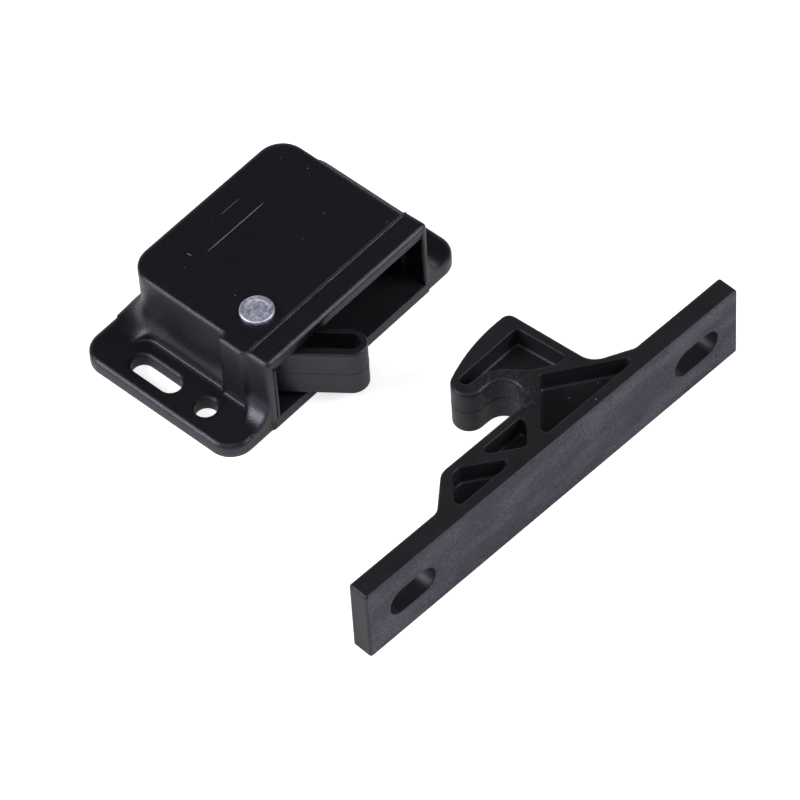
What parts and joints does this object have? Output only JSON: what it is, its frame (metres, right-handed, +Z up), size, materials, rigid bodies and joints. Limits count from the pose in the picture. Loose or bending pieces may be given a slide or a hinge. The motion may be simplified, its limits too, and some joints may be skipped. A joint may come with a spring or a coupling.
{
  "type": "lever catch with hook keeper",
  "caption": "Black plastic surface-mount lever catch: a sprung arm swings out of an open box to hold the hook of a slotted keeper bar on the door.",
  "frame": {"origin": "middle of the two round screw holes of the catch, on its mounting face", "axes": "+Z up out of the mounting face, +X along the catch's two ears, -Y out of the mouth towards the keeper"},
  "size_m": [0.0922, 0.0891, 0.0189],
  "materials": {
    "black_acetal": "fine moulded grain, slight sheen",
    "rivet_aluminium": "turned, satin",
    "spring_steel": "drawn wire"
  },
  "bodies": {
    "catch": {"housing": "black_acetal", "base_plate": "black_acetal", "pivot_rivet": "rivet_aluminium", "over_center_spring": "spring_steel", "keeper": "black_acetal"},
    "lever": {"latch_lever": "black_acetal"}
  },
  "joints": [
    {"name": "lever_swing", "type": "hinge", "parent": "catch", "child": "lever", "pos_m": [-0.01235, -0.0013, 0.009], "axis": [0, 0, 1], "range_deg": [0, 55], "deforming": ["over_center_spring"]}
  ]
}
